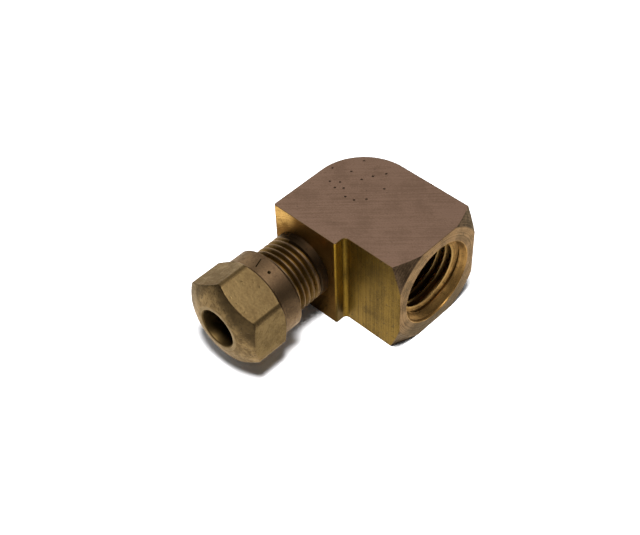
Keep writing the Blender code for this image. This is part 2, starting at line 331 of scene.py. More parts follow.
def angle_block():
    """Extruded bar with its turned end chamfer and its edges rounded."""
    mesh = bpy.data.meshes.new("elbow")
    shape = bmesh.new()
    verts = [shape.verts.new((x, y, -THICKNESS / 2)) for x, y in block_outline()]
    face = shape.faces.new(verts)
    raised = bmesh.ops.extrude_face_region(shape, geom=[face])
    tops = [v for v in raised["geom"] if isinstance(v, bmesh.types.BMVert)]
    bmesh.ops.translate(shape, verts=tops, vec=(0, 0, THICKNESS))
    bmesh.ops.recalc_face_normals(shape, faces=shape.faces)
    shape.to_mesh(mesh)
    shape.free()
    block = placed("elbow", mesh, Matrix.Identity(4))
    baked(block)
    rounded(block, BLOCK_EDGE, BLOCK_EDGE_ANGLE)
    reach = 3 * PORT_FACE_X
    far_r = END_CHAMFER_R + reach
    back = PORT_FACE_X - END_CHAMFER_SLOPE * (far_r - END_CHAMFER_R)
    lean = math.degrees(math.atan2(1, END_CHAMFER_SLOPE))
    bend = END_CHAMFER_EDGE * math.tan(math.radians(90 - lean) / 2)
    centre = (END_CHAMFER_R - bend, PORT_FACE_X - END_CHAMFER_EDGE)
    profile = [(0, PORT_FACE_X)] + arc(centre, END_CHAMFER_EDGE, 90, lean, steps=4)
    profile += [(far_r, back), (far_r, -reach), (0, -reach)]
    return boolean(block, "INTERSECT", turned("end_chamfer", profile, PORT_AXES,
                                              steps=CHAMFER_STEPS))


def thread_section(mouth_r, root_r, root_width, start):
    """Closed V groove, wide at mouth_r and flat at root_r."""
    half_root = root_width / 2
    half_mouth = half_root + FLANK * abs(root_r - mouth_r)
    return [(mouth_r, start - half_mouth), (root_r, start - half_root),
            (root_r, start + half_root), (mouth_r, start + half_mouth)]


def arm():
    """Turned arm with its compression thread."""
    edge_s = SHOULDER_S + UNDERCUT_WIDTH
    profile = [(0, ARM_END_S), (THREAD_R - ARM_END_CHAMFER, ARM_END_S),
               (THREAD_R, ARM_END_S - ARM_END_CHAMFER), (THREAD_R, edge_s),
               (UNDERCUT_R, edge_s - UNDERCUT_SIDE), (UNDERCUT_R, SHOULDER_S - OVERRUN),
               (0, SHOULDER_S - OVERRUN)]
    bar = turned("arm", profile, TUBE_AXES)
    turns = math.ceil((ARM_END_S - THREAD_START_S) / PITCH) + 1
    root_width = PITCH - CREST_WIDTH - 2 * FLANK * (THREAD_R - THREAD_ROOT_R)
    outside = THREAD_R + GROOVE_OVER
    rise = outside - THREAD_ROOT_R
    section = thread_section(outside, THREAD_ROOT_R, root_width, THREAD_START_S)

    def run_out(turn):
        """The first turns climb out of the bar."""
        return max(0.0, RUN_OUT_SHARE * rise * (1 - turn / RUN_OUT_TURNS))

    groove = helix("arm_thread", section, PITCH, turns, run_out, TUBE_AXES)
    return boolean(bar, "DIFFERENCE", groove)


def port_bore():
    """Rounded rim, countersunk mouth, tap bore and drill point of the port."""
    recess_x = PORT_FACE_X - PORT_RECESS_DEPTH
    throat_x = recess_x - (PORT_RECESS_R - PIPE_BORE_R)
    end_r = PIPE_BORE_R - PIPE_TAPER * (PORT_FACE_X - PORT_BORE_END_X)
    rim = arc((PORT_RIM_R + PORT_RIM_ROUND, PORT_FACE_X - PORT_RIM_ROUND),
              PORT_RIM_ROUND, 90, 172, steps=6)
    profile = [(0, PORT_FACE_X + OVERRUN),
               (PORT_RIM_R + PORT_RIM_ROUND, PORT_FACE_X + OVERRUN)]
    profile += rim
    profile += [(PORT_RECESS_R, recess_x), (PIPE_BORE_R, throat_x),
                (end_r, PORT_BORE_END_X),
                (0, PORT_BORE_END_X - DRILL_POINT_SLOPE * end_r)]
    return turned("port_bore", profile, PORT_AXES)


def port_thread():
    """Tapered groove of the pipe thread."""
    start = PORT_FACE_X - PIPE_THREAD_DEPTH
    turns = math.ceil(PIPE_THREAD_DEPTH / PIPE_PITCH) + 1
    deep_r = PIPE_ROOT_R - PIPE_TAPER * PIPE_THREAD_DEPTH
    section = thread_section(deep_r - PIPE_THREAD_HEIGHT, deep_r, CREST_WIDTH, start)
    flare = (PORT_RIM_R - PORT_RECESS_R) / PORT_RECESS_DEPTH

    def widen(turn):
        """The thread tapers, and near the mouth it follows the countersink."""
        depth = PIPE_THREAD_DEPTH - PIPE_PITCH * turn
        tapered = PIPE_ROOT_R - PIPE_TAPER * depth
        scrolled = PORT_RIM_R - flare * max(depth, 0.0) + THREAD_SCROLL
        return max(tapered, scrolled) - deep_r

    return helix("port_thread", section, PIPE_PITCH, turns, widen, PORT_AXES)


def tube_bore():
    """Mouth cone, tube socket and flow bore of the arm."""
    mouth_end = ARM_END_S - (MOUTH_R - TUBE_SOCKET_R) / MOUTH_SLOPE
    profile = [(0, ARM_END_S + OVERRUN),
               (MOUTH_R + MOUTH_SLOPE * OVERRUN, ARM_END_S + OVERRUN),
               (TUBE_SOCKET_R, mouth_end), (TUBE_SOCKET_R, TUBE_STOP_S),
               (FLOW_BORE_R, TUBE_STOP_S), (FLOW_BORE_R, FLOW_BORE_END_S),
               (0, FLOW_BORE_END_S)]
    return turned("tube_bore", profile, TUBE_AXES)


def pits():
    """Small pits, scattered over the middle and the back of the top face."""
    mesh = bpy.data.meshes.new("pits")
    shape = bmesh.new()
    draw = random.Random(PIT_SEED)
    spots = []
    while len(spots) < PIT_COUNT:
        spot = Vector((draw.uniform(-PIT_FIELD_R, PIT_FIELD_R),
                       draw.uniform(-PIT_FIELD_R, PIT_FIELD_R), 0))
        if spot.length < PIT_FIELD_R and all((spot - o).length > PIT_GAP for o in spots):
            spots.append(spot)
    for spot in spots:
        place = Matrix.Translation(spot + Vector((0, PIT_FIELD_Y, THICKNESS)))
        bmesh.ops.create_cone(shape, cap_ends=True, segments=MARK_SIDES, radius1=PIT_POINT_R,
                              radius2=2 * PIT_R, depth=2 * PIT_DEPTH, matrix=place)
    shape.to_mesh(mesh)
    shape.free()
    return placed("pits", mesh, Matrix.Translation((0, 0, -AXIS_Z)))


def make_elbow():
    """The whole elbow as one piece of metal."""
    elbow = angle_block()
    boolean(elbow, "UNION", arm())
    boolean(elbow, "DIFFERENCE", port_bore())
    boolean(elbow, "DIFFERENCE", tube_bore())
    boolean(elbow, "DIFFERENCE", port_thread())
    boolean(elbow, "DIFFERENCE", pits())
    return finished(elbow)


def nut_profile():
    """Outside of the nut, from its nose to its back end."""
    chord = math.hypot(HEX_CORNER_R - NOSE_FLAT_R, NUT_NOSE_S - HEX_FRONT_S)
    half_angle = math.degrees(math.asin(chord / 2 / NOSE_ARC_R))
    fall = math.degrees(math.atan2(NUT_NOSE_S - HEX_FRONT_S, HEX_CORNER_R - NOSE_FLAT_R))
    first = 90 - fall + half_angle
    centre_r = NOSE_FLAT_R - NOSE_ARC_R * math.cos(math.radians(first))
    centre_s = NUT_NOSE_S - NOSE_ARC_R * math.sin(math.radians(first))
    nose = arc((centre_r, centre_s), NOSE_ARC_R, first, first - 2 * half_angle, steps=16)
    edge = arc((COLLAR_R - COLLAR_EDGE_R, NUT_BACK_S + COLLAR_EDGE_R), COLLAR_EDGE_R,
               0, -90, steps=8)
    chamfer_slope = HEX_BACK_CHAMFER / (HEX_CORNER_R - HEX_FLATS / 2)
    collar_s = HEX_BACK_S - chamfer_slope * (HEX_CORNER_R - COLLAR_R)
    return ([(0, NUT_NOSE_S)] + nose + [(HEX_CORNER_R, HEX_BACK_S), (COLLAR_R, collar_s)]
            + edge + [(0, NUT_BACK_S)])


def hexagon():
    """Hexagonal bar with rounded corners."""
    mesh = bpy.data.meshes.new("hexagon")
    shape = bmesh.new()
    radius = HEX_FLATS / math.sqrt(3)
    length = NUT_NOSE_S - NUT_BACK_S + 2 * OVERRUN
    middle = Matrix.Translation((0, 0, (NUT_NOSE_S + NUT_BACK_S) / 2))
    turn = Matrix.Rotation(HEX_TURN - CONE_FIRST_CORNER, 4, "Z")
    bmesh.ops.create_cone(shape, cap_ends=True, segments=6, radius1=radius, radius2=radius,
                          depth=length, matrix=middle @ turn)
    corners = [e for e in shape.edges
               if abs(e.verts[0].co.z - e.verts[1].co.z) > length / 2]
    bmesh.ops.bevel(shape, geom=corners, offset=HEX_EDGE_R, offset_type="OFFSET",
                    segments=5, profile=0.5, affect="EDGES")
    shape.to_mesh(mesh)
    shape.free()
    return baked(placed("hexagon", mesh, TUBE_AXES))


def nut_bore():
    """Tube hole with a rounded rim, seat cone, relief and thread bore of the nut."""
    bore_r = THREAD_ROOT_R + THREAD_CLEARANCE + NUT_CREST_CUT
    seat_end_r = TUBE_HOLE_R + SEAT_S - SEAT_END_S
    mouth_r = THREAD_R + THREAD_CLEARANCE + NUT_MOUTH_CHAMFER
    rim = arc((TUBE_HOLE_R + HOLE_RIM_ROUND, NUT_NOSE_S - HOLE_RIM_ROUND),
              HOLE_RIM_ROUND, 90, 180, steps=6)
    profile = [(0, NUT_NOSE_S + OVERRUN),
               (TUBE_HOLE_R + HOLE_RIM_ROUND, NUT_NOSE_S + OVERRUN)]
    profile += rim
    profile += [(TUBE_HOLE_R, SEAT_S), (seat_end_r, SEAT_END_S), (RELIEF_R, SEAT_END_S),
                (RELIEF_R, NUT_THREAD_END_S),
                (bore_r, NUT_THREAD_END_S - (RELIEF_R - bore_r)),
                (bore_r, NUT_BACK_S + mouth_r - bore_r),
                (mouth_r + OVERRUN, NUT_BACK_S - OVERRUN), (0, NUT_BACK_S - OVERRUN)]
    return turned("nut_bore", profile, TUBE_AXES)


def nut_thread():
    """Groove of the nut, centred on the crests of the arm's thread."""
    whole = math.ceil((NUT_BACK_S - OVERRUN - THREAD_START_S) / PITCH)
    start = THREAD_START_S + (whole - 0.5) * PITCH
    turns = math.floor((NUT_THREAD_END_S - start) / PITCH) + 1
    root_r = THREAD_R + THREAD_CLEARANCE
    section = thread_section(THREAD_ROOT_R - GROOVE_OVER, root_r,
                             CREST_WIDTH + 2 * THREAD_CLEARANCE, start)

    def straight(turn):
        """The nut's thread keeps its radius."""
        return 0.0

    return helix("nut_thread", section, PITCH, turns, straight, TUBE_AXES)


def collar_marks():
    """Nick and short scratch on the collar."""
    mesh = bpy.data.meshes.new("collar_marks")
    shape = bmesh.new()
    out = Matrix.Translation((0, 0, COLLAR_R))
    nick = Matrix.Translation((0, -NICK_S, 0)) @ Matrix.Rotation(math.pi / 2 - NICK_TURN, 4, "Y")
    bmesh.ops.create_cone(shape, cap_ends=True, segments=MARK_SIDES, radius1=PIT_POINT_R,
                          radius2=2 * NICK_R, depth=2 * NICK_DEPTH, matrix=nick @ out)
    scratch = (Matrix.Translation((0, -SCRATCH_S, 0))
               @ Matrix.Rotation(math.pi / 2 - SCRATCH_TURN, 4, "Y") @ out
               @ Matrix.Rotation(SCRATCH_SLANT, 4, "Z"))
    bmesh.ops.create_cube(shape, size=1.0,
                          matrix=scratch @ Matrix.Diagonal((*SCRATCH_SIZE, 1.0)))
    shape.to_mesh(mesh)
    shape.free()
    return placed("collar_marks", mesh, Matrix.Identity(4))


def make_nut():
    """The nut with its edges worn round."""
    nut = turned("nut", nut_profile(), TUBE_AXES)
    boolean(nut, "INTERSECT", hexagon())
    rounded(nut, NUT_EDGE, NUT_EDGE_ANGLE)
    boolean(nut, "DIFFERENCE", nut_bore())
    boolean(nut, "DIFFERENCE", nut_thread())
    boolean(nut, "DIFFERENCE", collar_marks())
    return finished(nut)


def make_sleeve():
    """The double-tapered ring inside."""
    profile = [(SLEEVE_BORE_R, SLEEVE_BACK_S), (SLEEVE_END_R, SLEEVE_BACK_S),
               (SLEEVE_R, SLEEVE_BACK_S - SLEEVE_BACK_TAPER),
               (SLEEVE_R, SLEEVE_FRONT_S + SLEEVE_FRONT_TAPER),
               (SLEEVE_END_R, SLEEVE_FRONT_S), (SLEEVE_BORE_R, SLEEVE_FRONT_S)]
    sleeve = turned("sleeve_ring", profile, TUBE_AXES)
    rounded(sleeve, SLEEVE_EDGE, SLEEVE_EDGE_ANGLE)
    return finished(sleeve)


# ---------------------------------------------------------------- materials

EDGE_TINT = (1.0, 0.88, 0.72, 1.0)
SHOULDER_TINT = (0.55, 0.52, 0.5, 1.0)

# Shares and limits that every brass uses.
NOISE_ROUGHNESS = 0.55
PATCH_LIMITS = (0.28, 0.72)
TONE_LIMITS = (0.15, 0.85)
FINE_SHARE = 0.9
SPOT_SCALE = 1.7
SPOT_BLUR = 0.07
SPOT_COVER = 0.55
SPOT_SHADE = 0.35
ROUGH_LIMITS = (0.1, 0.9)
ROUGHER = 0.09
SMOOTHER = 0.07
MARK_HEIGHT = 0.7
FINE_HEIGHT = 0.3
SPOT_HEIGHT = 0.5
SAW_STRETCH = 0.03
SAW_DEPTH_SCALE = 0.1
DIE_DEPTH_SCALE = 0.05
BLAST_SHARE = 0.45

# Where the crest wear and the painted shade begin and end, in millimetres. Painted shades of
# the nut are a direction in degrees from +X towards +Z, two distances from the nut's axis and the
# greatest cover.
THREAD_WEAR_R = (5.5, 5.78)
THREAD_WEAR_S = (12.0, 13.2)
THREAD_SHADE_Z = (6.0, 14.0)
THREAD_SHADE_LEAST = 0.4
PORT_CREST_R = (6.25, 5.95)
NUT_CREST_R = (5.7, 5.35)
NOSE_RIGHT = (50, 4.2, 5.8, 0.78)
NOSE_LEFT = (150, 4.6, 6.2, 0.55)
FLAT_SIDE = (3, 6.9, 7.1, 0.45)
COLLAR_SIDE = (25, 5.9, 7.1, 0.55)
PORT_SHADE_Z = (1.5, 6.5)
FOOT_SHADE_Z = (2.5, 9.0)
LOW_SHADE_MOST = 0.9
SHOULDER_SHADE_REACH = (2.8, 5.2)
SHOULDER_SHADE_MOST = 0.95
CORNER_SHADE_REACH = (1.5, 6.0)


class Nodes:
    """Small helper that adds and links shader nodes. Lengths in it are millimetres."""

    def __init__(self, name):
        self.material = bpy.data.materials.new(name)
        self.material.use_nodes = True
        self.tree = self.material.node_tree
        self.shader = self.tree.nodes["Principled BSDF"]
        place = self.add("ShaderNodeTexCoord").outputs["Object"]
        self.place = self.vector("MULTIPLY", place, (1000, 1000, 1000))

    def add(self, kind, **settings):
        """Add a node and set its properties."""
        node = self.tree.nodes.new(kind)
        for key, value in settings.items():
            setattr(node, key, value)
        return node

    def put(self, socket, value):
        """Link an output, or set a constant, on an input."""
        if isinstance(value, bpy.types.NodeSocket):
            self.tree.links.new(value, socket)
        elif isinstance(value, tuple) and len(value) == 3 and socket.type == "RGBA":
            socket.default_value = (*value, 1.0)
        else:
            socket.default_value = value

    def vector(self, operation, first, second=(0, 0, 0)):
        """Vector arithmetic."""
        node = self.add("ShaderNodeVectorMath", operation=operation)
        self.put(node.inputs[0], first)
        self.put(node.inputs[1], second)
        number = operation in ("LENGTH", "DOT_PRODUCT")
        return node.outputs["Value" if number else "Vector"]

    def maths(self, operation, first, second):
        """Number arithmetic."""
        node = self.add("ShaderNodeMath", operation=operation)
        for socket, value in zip(node.inputs, (first, second)):
            self.put(socket, value)
        return node.outputs["Value"]

    def ramp(self, value, low, high, out_low=0.0, out_high=1.0):
        """Smooth step from one value to another."""
        node = self.add("ShaderNodeMapRange", interpolation_type="SMOOTHSTEP")
        for socket, number in zip(node.inputs, (value, low, high, out_low, out_high)):
            self.put(socket, number)
        return node.outputs["Result"]

    def noise(self, scale, detail, where=None):
        """Noise with a number of waves in each millimetre, along each axis."""
        stretch = scale if isinstance(scale, tuple) else (scale, scale, scale)
        place = self.vector("MULTIPLY", where or self.place, stretch)
        node = self.add("ShaderNodeTexNoise", noise_dimensions="3D")
        self.put(node.inputs["Vector"], place)
        self.put(node.inputs["Scale"], 1.0)
        self.put(node.inputs["Detail"], detail)
        self.put(node.inputs["Roughness"], NOISE_ROUGHNESS)
        return node.outputs["Fac"]

    def lines(self, distance, scale, detail):
        """Fine lines that follow equal distances."""
        node = self.add("ShaderNodeTexNoise", noise_dimensions="1D")
        self.put(node.inputs["W"], distance)
        self.put(node.inputs["Scale"], scale)
        self.put(node.inputs["Detail"], detail)
        return node.outputs["Fac"]

    def radius(self, axis):
        """Distance from the port axis ("X") or the tube axis ("Y")."""
        raised = self.vector("SUBTRACT", self.place, (0, 0, AXIS_Z / MM))
        keep = (0, 1, 1) if axis == "X" else (1, 0, 1)
        return self.vector("LENGTH", self.vector("MULTIPLY", raised, keep))

    def distance(self, x, y, z):
        """Distance from a point that is given in metres."""
        apart = self.vector("SUBTRACT", self.place, (x / MM, y / MM, z / MM))
        return self.vector("LENGTH", apart)

    def along(self, axis):
        """Position along a world axis."""
        node = self.add("ShaderNodeSeparateXYZ")
        self.put(node.inputs[0], self.place)
        return node.outputs[axis]

    def turned(self, angle):
        """The place turned about the upright axis."""
        node = self.add("ShaderNodeVectorRotate", rotation_type="Z_AXIS")
        self.put(node.inputs["Vector"], self.place)
        self.put(node.inputs["Angle"], angle)
        return node.outputs["Vector"]

    def mix(self, amount, first, second):
        """Blend two colours."""
        node = self.add("ShaderNodeMix", data_type="RGBA")
        self.put(node.inputs["Factor"], amount)
        self.put(node.inputs[6], first)
        self.put(node.inputs[7], second)
        return node.outputs[2]

    def finish(self, colour, roughness, metallic, height, depth, edge=EDGE_TINT):
        """Wire the shader. Height is in units of depth, and depth is in millimetres.

        Edge is the tint of a metal's grazing reflection.
        """
        bump = self.add("ShaderNodeBump")
        bump.inputs["Strength"].default_value = 1.0
        bump.inputs["Distance"].default_value = depth * MM
        self.put(bump.inputs["Height"], height)
        self.put(self.shader.inputs["Base Color"], colour)
        self.put(self.shader.inputs["Roughness"], roughness)
        self.put(self.shader.inputs["Normal"], bump.outputs["Normal"])
        self.shader.inputs["Metallic"].default_value = metallic
        if metallic:
            self.shader.inputs["Specular Tint"].default_value = edge
        return self.material


def brass(name, dark, light, roughness, metallic=1.0, marks=None, marks_scale=6.0,
          crisp=0.5, mottle=0.35, grain=9.0, depth=0.012, specks=0.62, layers=(),
          edge=EDGE_TINT):
    """Aged brass.

    Patches blend the dark and the light tone. Marks is "X" or "Y" for turning rings about
    the port or the tube axis, "saw" for saw lines on the cut faces, "die" for the upright
    lines of the extruded bar, or None for a blasted surface. Each layer is a colour, of rubbed
    metal, painted shade or a painted reflection, and a function of the nodes that gives how
    much it shows.
    """
    n = Nodes(name)
    patches = n.ramp(n.noise(mottle, 4.0), *PATCH_LIMITS)
    fine = n.noise(grain, 2.0)
    if marks == "saw":
        scored = n.noise((SAW_STRETCH * marks_scale, marks_scale, SAW_DEPTH_SCALE), 3.0,
                         where=n.turned(-SAW_TURN))
    elif marks == "die":
        scored = n.noise((marks_scale, marks_scale, DIE_DEPTH_SCALE), 2.0)
    elif marks:
        scored = n.lines(n.radius(marks), marks_scale, 3.0)
    else:
        scored = n.noise(grain * BLAST_SHARE, 3.0)
    scored = n.ramp(scored, 0.5 - crisp, 0.5 + crisp)
    tone = n.maths("ADD", n.maths("MULTIPLY", patches, 0.5), n.maths("MULTIPLY", scored, 0.5))
    tone = n.maths("ADD", tone, n.maths("MULTIPLY", n.maths("SUBTRACT", fine, 0.5), FINE_SHARE))
    colour = n.mix(n.ramp(tone, *TONE_LIMITS), dark, light)
    spots = n.ramp(n.noise(SPOT_SCALE, 2.0), specks, specks + SPOT_BLUR)
    colour = n.mix(n.maths("MULTIPLY", spots, SPOT_COVER), colour,
                   tuple(c * SPOT_SHADE for c in dark))
    for tint, amount in layers:
        colour = n.mix(amount(n), colour, tint)
    rough = n.ramp(tone, *ROUGH_LIMITS, roughness + ROUGHER, roughness - SMOOTHER)
    height = n.maths("ADD", n.maths("MULTIPLY", scored, MARK_HEIGHT),
                     n.maths("MULTIPLY", fine, FINE_HEIGHT))
    height = n.maths("SUBTRACT", height, n.maths("MULTIPLY", spots, SPOT_HEIGHT))
    return n.finish(colour, rough, metallic, height, depth, edge)


def crest_wear(axis, root, crest):
    """Wear that grows from the root of a thread to its crest, in millimetres."""
    return lambda n: n.ramp(n.radius(axis), root, crest)


def thread_wear_and_shade(n):
    """Wear of the tube arm's crests, which fades towards the shoulder; painted shade dims it
    towards the floor.
    """
    out = n.maths("MULTIPLY", n.along("Y"), -1.0)
    worn = n.maths("MULTIPLY", n.ramp(n.radius("Y"), *THREAD_WEAR_R),
                   n.ramp(out, *THREAD_WEAR_S))
    upper = n.ramp(n.along("Z"), *THREAD_SHADE_Z, THREAD_SHADE_LEAST, 1.0)
    return n.maths("MULTIPLY", worn, upper)


def side_shade(turn, start, full, most):
    """Painted shade on one side of the nut, from none at a distance from its axis to the most.

    Turn is the side's direction in degrees, from +X towards +Z.
    """
    side = (math.cos(math.radians(turn)), 0, math.sin(math.radians(turn)))

    def painted_shade(n):
        raised = n.vector("SUBTRACT", n.place, (0, 0, AXIS_Z / MM))
        return n.ramp(n.vector("DOT_PRODUCT", raised, side), start, full, 0.0, most)

    return painted_shade


def nose_shade(n):
    """Painted shade on the nose above the tube hole, on both sides."""
    right = side_shade(*NOSE_RIGHT)
    left = side_shade(*NOSE_LEFT)
    return n.maths("MAXIMUM", right(n), left(n))


def port_shade(n):
    """Painted shade on the port's ring, which deepens towards the floor."""
    return n.ramp(n.along("Z"), *PORT_SHADE_Z, LOW_SHADE_MOST, 0.0)


def foot_shade(n):
    """Painted shade on the heel near the floor, standing in for a reflected shadow."""
    return n.ramp(n.along("Z"), *FOOT_SHADE_Z, LOW_SHADE_MOST, 0.0)


def shoulder_shade(n):
    """Painted shade over the shoulder, all but its upper outer corner, which keeps the bright tone
    as a painted highlight.
    """
    apart = n.distance(-SHOULDER_OUT, -SHOULDER_S, THICKNESS)
    return n.ramp(apart, *SHOULDER_SHADE_REACH, 0.0, SHOULDER_SHADE_MOST)


def corner_shade(n):
    """Painted shade on the shoulder's lower corner, beside the notch, standing in for a reflected
    shadow.
    """
    apart = n.distance(SHOULDER_IN, -SHOULDER_S, 0)
    return n.ramp(apart, *CORNER_SHADE_REACH, LOW_SHADE_MOST, 0.0)


def elbow_finishes():
    """Finish of each region of the elbow, by name."""
    return {
        "bar_side": brass("bar_side", (0.053, 0.03, 0.0032), (0.118, 0.068, 0.0073), 0.44,
                          marks="die", marks_scale=3.2, crisp=0.34, mottle=0.16, grain=5.0,
                          depth=0.014),
        # The heel is the bar side's brass in a lighter copy, a painted highlight on the side that
        # faces the light; near the floor it gets painted shade.
        "heel": brass("heel", (0.11, 0.062, 0.006), (0.24, 0.136, 0.012), 0.44,
                      marks="die", marks_scale=3.2, crisp=0.34, mottle=0.16, grain=5.0,
                      depth=0.014, layers=[((0.03, 0.017, 0.003), foot_shade)]),
        "cut_face": brass("cut_face", (0.106, 0.063, 0.041), (0.168, 0.102, 0.069), 0.55,
                          metallic=0.8, marks="saw", marks_scale=2.8, crisp=0.36,
                          mottle=0.22, grain=4.0, depth=0.014, specks=0.68),
        # The shoulder's light tone is a painted highlight, left only at its upper outer corner;
        # its layers are painted shade over the rest and over the lower corner.
        "shoulder": brass("shoulder", (0.14, 0.068, 0.013), (0.5, 0.3, 0.09), 0.43,
                          marks="Y", marks_scale=5.0, mottle=0.22, grain=6.0,
                          layers=[((0.135, 0.066, 0.016), shoulder_shade),
                                  ((0.035, 0.018, 0.004), corner_shade)],
                          edge=SHOULDER_TINT),
        # The port face gets painted shade that deepens towards the floor.
        "port_face": brass("port_face", (0.06, 0.034, 0.014), (0.148, 0.084, 0.035), 0.42,
                           marks="X", marks_scale=4.0, crisp=0.3, mottle=0.4, grain=4.0,
                           depth=0.016, layers=[((0.026, 0.016, 0.008), port_shade)]),
        "end_chamfer": brass("end_chamfer", (0.03, 0.0185, 0.01), (0.08, 0.051, 0.029),
                             0.5, marks="X", marks_scale=3.5, mottle=0.6, grain=5.0,
                             depth=0.02),
        # The arm's crests are rubbed lighter, and painted shade dims them towards the floor.
        "arm_thread": brass("arm_thread", (0.074, 0.041, 0.009), (0.127, 0.071, 0.016), 0.42,
                            marks="Y", marks_scale=4.0, mottle=0.5, grain=9.0,
                            layers=[((0.165, 0.108, 0.062), thread_wear_and_shade)]),
        "arm_neck": brass("arm_neck", (0.018, 0.011, 0.0055), (0.04, 0.024, 0.012), 0.45,
                          marks="Y", marks_scale=4.0, mottle=0.5, grain=9.0),
        "port_bore": brass("port_bore", (0.12, 0.066, 0.02), (0.27, 0.15, 0.045), 0.42,
                           marks="X", marks_scale=4.0, mottle=0.4, grain=9.0,
                           layers=[((0.36, 0.225, 0.078), crest_wear("X", *PORT_CREST_R))]),
        "tube_bore": brass("tube_bore", (0.03, 0.018, 0.005), (0.08, 0.046, 0.012), 0.35,
                           marks="Y", marks_scale=6.0, mottle=0.4, grain=9.0),
        "pit": brass("pit", (0.015, 0.009, 0.006), (0.04, 0.025, 0.016), 0.6, grain=12.0),
        "worn_edge": brass("worn_edge", (0.075, 0.046, 0.02), (0.16, 0.1, 0.045), 0.42,
                           mottle=0.5, grain=8.0),
    }


def nut_finishes():
    """Finish of each region of the nut, by name."""
    return {
        # The flat that faces +X gets painted shade.
        "nut_flat": brass("nut_flat", (0.098, 0.063, 0.026), (0.155, 0.103, 0.043), 0.48,
                          mottle=0.35, grain=2.8, depth=0.028, specks=0.66,
                          layers=[((0.07, 0.045, 0.013), side_shade(*FLAT_SIDE))]),
        # Both sides of the nose above the tube hole get painted shade.
        "nut_nose": brass("nut_nose", (0.083, 0.053, 0.022), (0.165, 0.108, 0.045), 0.46,
                          mottle=0.35, grain=2.6, depth=0.034, specks=0.6,
                          layers=[((0.03, 0.019, 0.008), nose_shade)]),
        "nut_ring": brass("nut_ring", (0.088, 0.06, 0.028), (0.14, 0.097, 0.046), 0.38,
                          marks="Y", marks_scale=6.0, mottle=0.6, grain=9.0),
        # The collar's +X side gets painted shade, a painted reflection of the dark shoulder.
        "nut_collar": brass("nut_collar", (0.086, 0.052, 0.028), (0.148, 0.093, 0.048), 0.46,
                            mottle=0.3, grain=4.0, depth=0.018, specks=0.64,
                            layers=[((0.045, 0.028, 0.014), side_shade(*COLLAR_SIDE))]),
        # The bore's near-black tones are painted shade inside the hole; its lighter crests are
        # rubbed metal.
        "nut_bore": brass("nut_bore", (0.01, 0.0065, 0.002), (0.03, 0.0185, 0.006), 0.5,
                          marks="Y", marks_scale=5.0, mottle=0.5, grain=9.0,
                          layers=[((0.07, 0.044, 0.016), crest_wear("Y", *NUT_CREST_R))]),
        "nut_edge": brass("nut_edge", (0.072, 0.046, 0.019), (0.118, 0.076, 0.031), 0.45,
                          mottle=0.5, grain=7.0),
    }


def sleeve_finishes():
    """Finish of the sleeve, which is bright because the nut covers it."""
    return {
        "sleeve_turned": brass("sleeve_turned", (0.45, 0.3, 0.1), (0.68, 0.48, 0.2), 0.28,
                               marks="Y", marks_scale=8.0, mottle=0.4, grain=9.0),
    }


def off_axis(point, axis):
    """Distance of a point from the port axis or the tube axis."""
    across = point.y if axis == "X" else point.x
    return math.hypot(across, point.z - AXIS_Z)


def elbow_region(centre, normal):
    """Region of the elbow that a face belongs to."""
    from_tube = off_axis(centre, "Y")
    from_port = off_axis(centre, "X")
    past_shoulder = -centre.y - SHOULDER_S
    if normal.y < -FACE_ON and abs(past_shoulder) < FACE_SLACK:
        return "shoulder"
    if from_tube < MOUTH_R + FACE_SLACK and -centre.y > TUBE_REGION_S:
        return "tube_bore"
    if past_shoulder > FACE_SLACK:
        return "arm_neck" if -centre.y < ARM_NECK_END_S else "arm_thread"
    outward = normal.y * centre.y + normal.z * (centre.z - AXIS_Z)
    if outward < 0 and from_port < PORT_RIM_R + PORT_RIM_ROUND and centre.x > BORE_REGION_X:
        return "port_bore"
    if normal.x > FACE_ON and centre.x > PORT_FACE_X - FACE_SLACK:
        return "port_face"
    past_fillet = -centre.y - PORT_ARM_HALF - NOTCH_FILLET_R
    if normal.x > EDGE_ON and abs(normal.z) < EDGE_ON and past_fillet > -FACE_SLACK:
        return "heel"
    if normal.x > END_CHAMFER_ON and centre.x > PORT_FACE_X - END_CHAMFER_REACH \
            and from_port > END_CHAMFER_R - END_CHAMFER_EDGE:
        return "end_chamfer"
    from_pits = math.hypot(centre.x, centre.y - PIT_FIELD_Y)
    if centre.z > AXIS_Z and normal.z < FACE_ON and from_pits < PIT_FIELD_R + PIT_R:
        return "pit"
    if abs(normal.z) > FACE_ON:
        return "cut_face"
    return "bar_side" if abs(normal.z) < EDGE_ON else "worn_edge"


def nut_region(centre, normal):
    """Region of the nut that a face belongs to."""
    out = off_axis(centre, "Y")
    along = -centre.y
    outward = (normal.x * centre.x + normal.z * (centre.z - AXIS_Z)) / out
    if along > NUT_NOSE_S - FACE_SLACK and -normal.y > FACE_ON:
        return "nut_ring"
    if outward < 0 or (out < COLLAR_R - 2 * COLLAR_EDGE_R and along < HEX_BACK_S):
        return "nut_bore"
    from_end = along - NUT_BACK_S
    if 2 * COLLAR_EDGE_R < from_end < HEX_FLAT_START_S - NUT_BACK_S \
            and out < COLLAR_R - FACE_SLACK:
        return "nut_bore"
    angle = (math.atan2(normal.z, normal.x) - HEX_TURN) % (math.pi / 3) - math.pi / 6
    if abs(normal.y) < EDGE_ON and out > COLLAR_R + FACE_SLACK and along > HEX_FLAT_START_S:
        return "nut_flat" if abs(angle) < HEX_FLAT_SLACK else "nut_edge"
    return "nut_collar" if along < HEX_BACK_S + FACE_SLACK else "nut_nose"


def sleeve_region(centre, normal):
    """The sleeve has one finish."""
    return "sleeve_turned"


def dress(piece, finishes, region):
    """Give each face the finish of its region."""
    names = list(finishes)
    for name in names:
        piece.data.materials.append(finishes[name])
    for face in piece.data.polygons:
        face.material_index = names.index(region(face.center, face.normal))


# ---------------------------------------------------------------- stage

